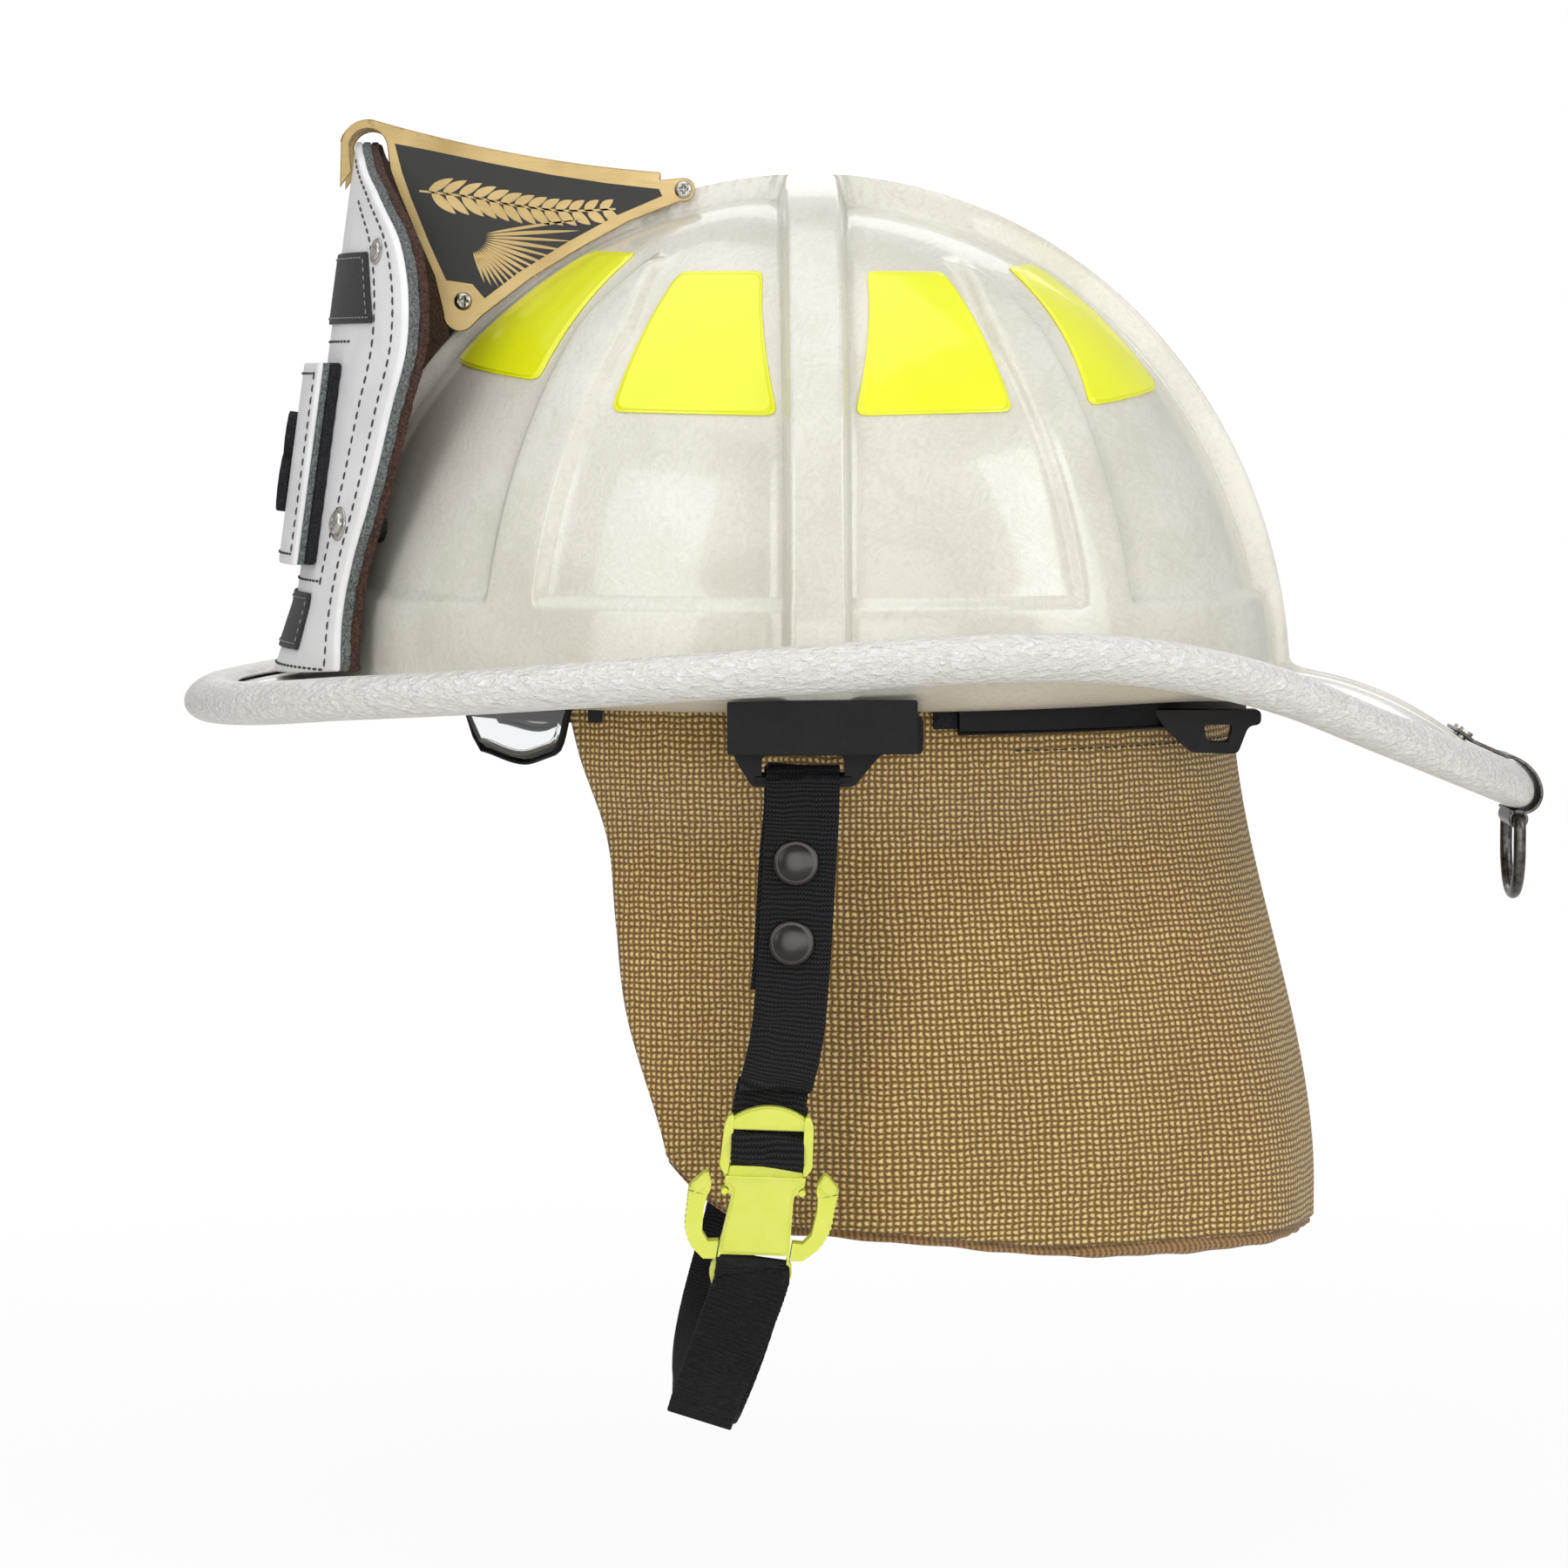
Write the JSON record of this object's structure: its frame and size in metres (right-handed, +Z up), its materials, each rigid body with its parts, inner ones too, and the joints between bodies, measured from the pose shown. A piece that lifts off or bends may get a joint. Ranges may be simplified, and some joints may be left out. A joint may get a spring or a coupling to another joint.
{
  "type": "fire helmet",
  "caption": "Traditional fire helmet with a ribbed shell, long rear brim, brass-held leather front, swing-down visor, chin strap with side buckle, and neck curtain.",
  "frame": {"origin": "centre of the head's plan at the level of the shell's lower edge over the ears", "axes": "+Z up, -Y forwards out of the wearer's face, +X towards the wearer's left"},
  "size_m": [0.2966, 0.3922, 0.3799],
  "materials": {
    "shell": "gloss, fibre texture",
    "trim": "grained",
    "reflective": "fluorescent, retroreflective",
    "holder_brass": "etched, partly blackened",
    "steel": "plain",
    "dark_steel": "gunmetal",
    "black_plastic": "satin",
    "leather_white": "smooth, stitched",
    "leather_grey": "raw edge",
    "leather_brown": "raw",
    "leather_black": "smooth",
    "tape": "hook and loop",
    "lens": "clear",
    "foam": "foamed",
    "pad": "padded",
    "webbing": "woven",
    "buckle": "satin",
    "curtain_cloth": "coarse weave",
    "curtain_knit": "knit"
  },
  "bodies": {
    "helmet": {"outer_shell": "shell", "edge_trim": "trim", "reflector_front": "reflective", "reflector_side_front": "reflective", "reflector_side_rear": "reflective", "reflector_rear": "reflective", "front_holder": "holder_brass", "holder_bracket": "black_plastic", "holder_screws": "steel", "leather_face": "leather_white", "leather_middle": "leather_grey", "leather_backing": "leather_brown", "name_panel_upper": "leather_black", "name_panel_lower": "leather_black", "front_rivets": "steel", "front_screws": "steel", "barrel_nuts": "black_plastic", "visor_pivots": "steel", "impact_cap": "black_plastic", "foam_liner": "foam", "headband": "black_plastic", "brow_pad": "pad", "crown_strap_lower": "webbing", "crown_strap_upper": "webbing", "crown_pad": "pad", "strap_keys": "black_plastic", "ratchet_housing": "black_plastic", "nape_pad": "pad", "hanger_left": "black_plastic", "hanger_right": "black_plastic", "hanger_screws": "steel", "curtain_rail": "black_plastic", "rear_clips": "black_plastic", "curtain_binding": "tape", "curtain_outer": "curtain_cloth", "curtain_lining": "curtain_knit", "ring_bracket": "steel", "bracket_rivets": "steel", "webbing_left": "webbing", "snaps": "dark_steel", "buckle_socket": "buckle", "chin_webbing": "webbing", "strap_flap": "webbing"},
    "visor": {"visor_lens": "lens", "visor_arms": "black_plastic", "visor_tabs": "black_plastic"},
    "number": {"number_panel": "leather_white", "number_tape": "tape", "numeral": "leather_black"},
    "knob": {"ratchet_knob": "black_plastic"},
    "tail_left": {"nape_tail_left": "black_plastic"},
    "tail_right": {"nape_tail_right": "black_plastic"},
    "ring": {"hang_ring": "steel"},
    "lock": {"buckle_lock": "buckle"},
    "arm_front": {"buckle_arm_front": "buckle"},
    "arm_rear": {"buckle_arm_rear": "buckle"},
    "slider": {"strap_slider": "black_plastic"}
  },
  "joints": [
    {"name": "visor_swing", "type": "hinge", "parent": "helmet", "child": "visor", "pos_m": [0, -0.005, 0.015], "axis": [1, 0, 0], "range_deg": [0, 35]},
    {"name": "number_pull", "type": "slide", "parent": "helmet", "child": "number", "axis": [0, -1, 0], "range_m": [0, 0.03]},
    {"name": "knob_turn", "type": "hinge", "parent": "helmet", "child": "knob", "pos_m": [0, 0.1096, -0.017], "axis": [0, 1, 0], "range_deg": [0, 240]},
    {"name": "tail_left_slide", "type": "hinge", "parent": "helmet", "child": "tail_left", "pos_m": [0, 0.035, -0.012], "axis": [0, 0, 1], "range_deg": [0, 8.5]},
    {"name": "tail_right_slide", "type": "hinge", "parent": "helmet", "child": "tail_right", "pos_m": [0, 0.035, -0.022], "axis": [0, 0, -1], "range_deg": [0, 8.5]},
    {"name": "ring_swing", "type": "hinge", "parent": "helmet", "child": "ring", "pos_m": [0, 0.2048, -0.0366], "axis": [1, 0, 0], "range_deg": [-70, 90]},
    {"name": "buckle_release", "type": "slide", "parent": "helmet", "child": "lock", "axis": [0, 0.1564, 0.9877], "range_m": [0, 0.028], "deforming": ["webbing_left"]},
    {"name": "arm_front_press", "type": "hinge", "parent": "helmet", "child": "arm_front", "pos_m": [0.104, -0.02687, -0.14456], "axis": [-1, 0, 0], "range_deg": [0, 6], "stiffness_Nm_per_rad": 0.5},
    {"name": "arm_rear_press", "type": "hinge", "parent": "helmet", "child": "arm_rear", "pos_m": [0.104, -0.00395, -0.14819], "axis": [1, 0, 0], "range_deg": [0, 6], "stiffness_Nm_per_rad": 0.5},
    {"name": "slider_slide", "type": "slide", "parent": "helmet", "child": "slider", "axis": [-0.0432, 0.139, 0.9893], "range_m": [-0.018, 0.018]}
  ],
  "couplings": [
    {"joint": "tail_left_slide", "follows": "knob_turn", "ratio": 0.033333},
    {"joint": "tail_right_slide", "follows": "knob_turn", "ratio": 0.033333}
  ]
}
